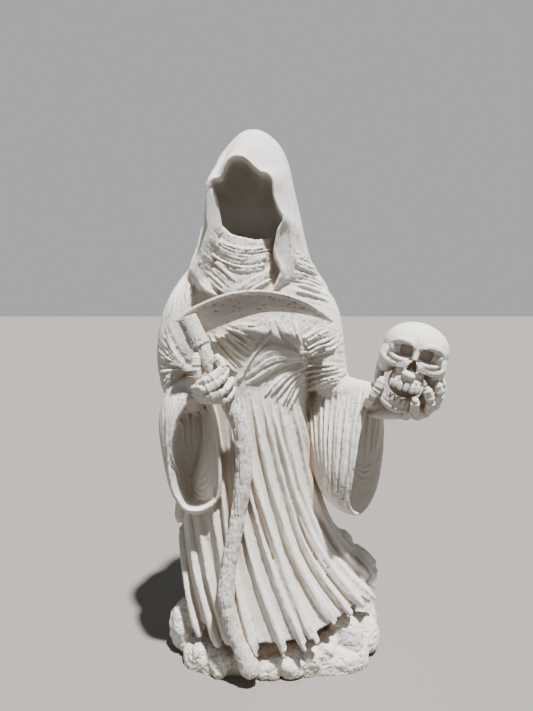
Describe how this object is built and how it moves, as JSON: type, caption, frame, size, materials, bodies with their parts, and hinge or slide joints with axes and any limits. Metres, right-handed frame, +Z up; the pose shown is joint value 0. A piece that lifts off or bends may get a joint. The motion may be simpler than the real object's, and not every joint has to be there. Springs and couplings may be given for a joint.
{
  "type": "grim reaper figurine",
  "caption": "Standing hooded reaper in pleated robes, with an empty hood, a scythe in one skeleton hand, a skull on the other and a base of boulders.",
  "frame": {"origin": "on the flat underside of the rock base, straight below the body", "axes": "+X towards the hand that holds the skull, -Y to the front, +Z up"},
  "size_m": [0.2502, 0.1415, 0.4783],
  "materials": {
    "bisque": "matt unglazed bisque, warm white"
  },
  "bodies": {
    "root": {"figurine": "bisque"}
  },
  "joints": []
}
